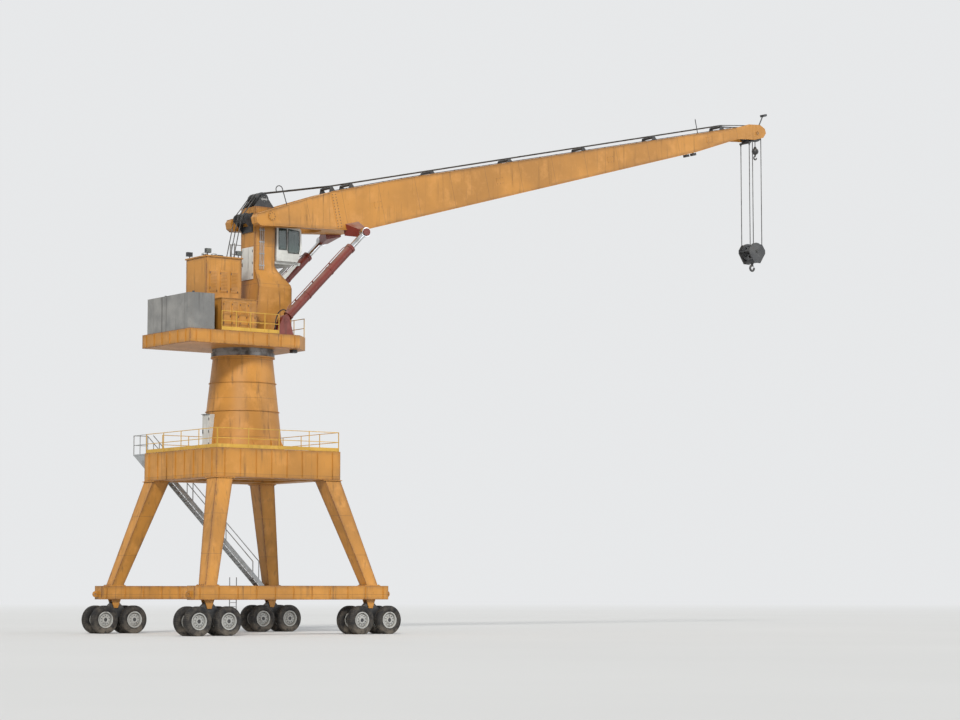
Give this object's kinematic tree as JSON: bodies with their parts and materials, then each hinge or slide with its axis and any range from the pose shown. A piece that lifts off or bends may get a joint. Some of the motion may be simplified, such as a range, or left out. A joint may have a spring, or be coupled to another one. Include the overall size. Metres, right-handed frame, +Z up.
{
  "type": "1:2 scale model of a rubber tyred portal jib crane",
  "caption": "Slewing harbour jib crane with a luffing box jib, hydraulic rams, cab and hook block, on a splayed portal on rubber tyres; 1:2 scale model.",
  "frame": {"origin": "on the ground, on the slewing axis, under the middle of the portal", "axes": "+Z up, +X the way the jib points at rest, +Y to its left"},
  "size_m": [23.7907, 5.96, 17.1405],
  "materials": {
    "yellow_paint": "ochre yellow gloss paint, weathered",
    "maroon_paint": "dark red paint, weathered",
    "dark_steel": "dark grey paint, greased",
    "wire_rope": "greased steel wire rope",
    "grey_steel": "galvanised steel, dull",
    "rail_paint": "yellow paint, worn",
    "tyre": "dusty rubber",
    "wheel_paint": "light grey paint, dirty",
    "white_paint": "off-white paint, streaked",
    "tinted_glass": "green tinted glass",
    "chrome_rod": "hard chrome, oiled",
    "ballast": "painted ballast slabs",
    "ring_steel": "machined steel, greased"
  },
  "bodies": {
    "portal": {"tyres": "tyre", "rims": "wheel_paint", "bogies": "dark_steel", "sills": "yellow_paint", "legs": "yellow_paint", "portal_frame": "yellow_paint", "pedestal": "yellow_paint", "slew_ring_fixed": "ring_steel", "portal_railing": "rail_paint", "portal_stair": "grey_steel", "pedestal_door": "white_paint"},
    "upperworks": {"slew_ring_turning": "ring_steel", "deck": "yellow_paint", "tower": "yellow_paint", "mast_head": "dark_steel", "rope_guide": "dark_steel", "winch_ropes": "wire_rope", "tower_door": "white_paint", "machine_house": "yellow_paint", "counterweight": "ballast", "side_cabinets": "yellow_paint", "deck_railing": "rail_paint", "cab_bracket": "white_paint", "cab": "white_paint", "cab_glass": "tinted_glass", "barrel_brackets": "maroon_paint", "cab_walkway": "grey_steel"},
    "barrels": {"barrels": "maroon_paint"},
    "rods": {"rods": "chrome_rod"},
    "jib": {"jib_root": "yellow_paint", "jib_box": "yellow_paint", "jib_head": "yellow_paint", "head_sheaves": "dark_steel", "rod_brackets": "maroon_paint", "rope_rollers": "dark_steel", "jib_ropes": "wire_rope", "luff_ropes": "wire_rope", "jib_fittings": "dark_steel"},
    "falls": {"fall_hanger": "dark_steel", "main_falls": "wire_rope", "whip_fall": "wire_rope"},
    "block": {"hook_block": "dark_steel", "block_ropes": "wire_rope"},
    "hook": {"main_hook": "dark_steel"},
    "whip": {"whip_hook": "dark_steel"}
  },
  "joints": [
    {"name": "slew", "type": "hinge", "parent": "portal", "child": "upperworks", "pos_m": [0, 0, 7.91], "axis": [0, 0, 1], "continuous": true},
    {"name": "jib_luff", "type": "hinge", "parent": "upperworks", "child": "jib", "pos_m": [0.4, 0, 11.8], "axis": [0, -1, 0], "range_deg": [-10, 46], "deforming": ["luff_ropes"]},
    {"name": "barrel_swing", "type": "hinge", "parent": "upperworks", "child": "barrels", "pos_m": [0.6442, 0, 8.81206], "axis": [0, -1, 0], "range_deg": [-5.5, 23.5]},
    {"name": "rod_swing", "type": "hinge", "parent": "jib", "child": "rods", "pos_m": [3.38794, 0, 11.5558], "axis": [0, -1, 0], "range_deg": [-23.5, 5.5]},
    {"name": "falls_hang", "type": "hinge", "parent": "jib", "child": "falls", "pos_m": [19.66096, 0, 16.38861], "axis": [0, -1, 0], "range_deg": [-46.5, 10.5]},
    {"name": "main_hoist", "type": "slide", "parent": "falls", "child": "block", "axis": [0, 0, 1], "range_m": [-7, 1.2], "deforming": ["main_falls"]},
    {"name": "whip_hoist", "type": "slide", "parent": "falls", "child": "whip", "axis": [0, 0, 1], "range_m": [-1.3, 0.1], "deforming": ["whip_fall"]},
    {"name": "hook_swivel", "type": "hinge", "parent": "block", "child": "hook", "pos_m": [19.66096, 0, 12.09361], "axis": [0, 0, 1], "continuous": true}
  ],
  "couplings": [
    {"joint": "barrel_swing", "follows": "jib_luff", "ratio": 0.5},
    {"joint": "rod_swing", "follows": "jib_luff", "ratio": -0.5},
    {"joint": "falls_hang", "follows": "jib_luff", "ratio": -1}
  ]
}
